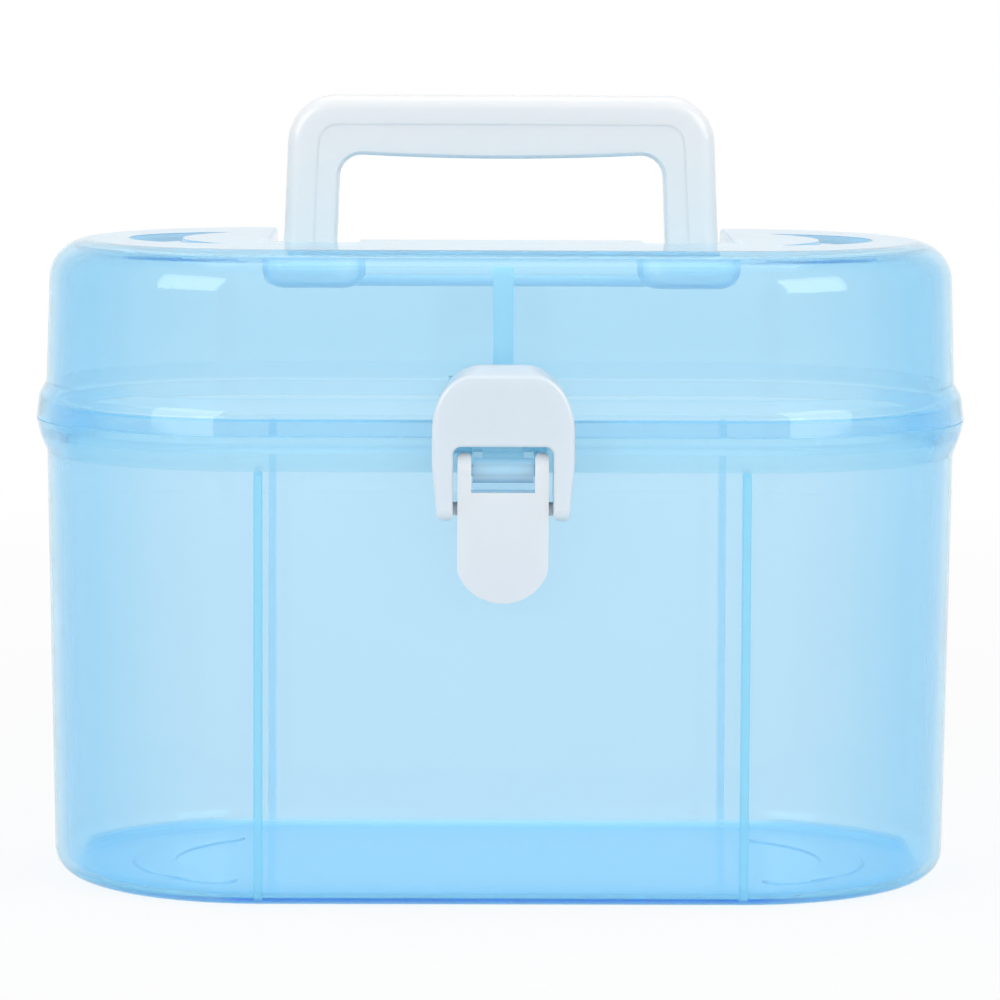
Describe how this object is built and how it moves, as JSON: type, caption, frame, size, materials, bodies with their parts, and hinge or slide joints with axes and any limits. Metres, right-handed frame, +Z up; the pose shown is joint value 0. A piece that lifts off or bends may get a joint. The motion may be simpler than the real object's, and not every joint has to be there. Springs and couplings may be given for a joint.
{
  "type": "makeup storage case",
  "caption": "Translucent blue plastic storage case with rounded ends, a hinged lid, a white folding carrying handle and a white over-centre front latch.",
  "frame": {"origin": "plan centre of the case on the flat underside it rests on", "axes": "+X to the right along the width seen from the front, +Y from the latch side to the hinge side, +Z up"},
  "size_m": [0.2258, 0.1476, 0.1897],
  "materials": {
    "case_plastic": "translucent gloss polypropylene",
    "lid_plastic": "translucent gloss polypropylene",
    "white_plastic": "satin white plastic",
    "pin_plastic": "plain white plastic"
  },
  "bodies": {
    "case": {"case_body": "case_plastic", "latch_pin": "case_plastic", "hinge_pin": "pin_plastic"},
    "lid": {"lid": "lid_plastic"},
    "handle": {"handle": "white_plastic"},
    "lever": {"latch_lever": "white_plastic"},
    "bail": {"latch_bail": "white_plastic"}
  },
  "joints": [
    {"name": "lid_hinge", "type": "hinge", "parent": "case", "child": "lid", "pos_m": [0, 0.06915, 0.1115], "axis": [-1, 0, 0], "range_deg": [0, 105]},
    {"name": "handle_fold", "type": "hinge", "parent": "lid", "child": "handle", "pos_m": [0, 0, 0.1501], "axis": [-1, 0, 0], "range_deg": [0, 90]},
    {"name": "lever_swing", "type": "hinge", "parent": "case", "child": "lever", "pos_m": [0, -0.0703, 0.1045], "axis": [-1, 0, 0], "range_deg": [0, 100]},
    {"name": "bail_swing", "type": "hinge", "parent": "lever", "child": "bail", "pos_m": [0, -0.0705, 0.0956], "axis": [-1, 0, 0], "range_deg": [-100, 0]}
  ],
  "couplings": [
    {"joint": "bail_swing", "follows": "lever_swing", "ratio": -1}
  ]
}
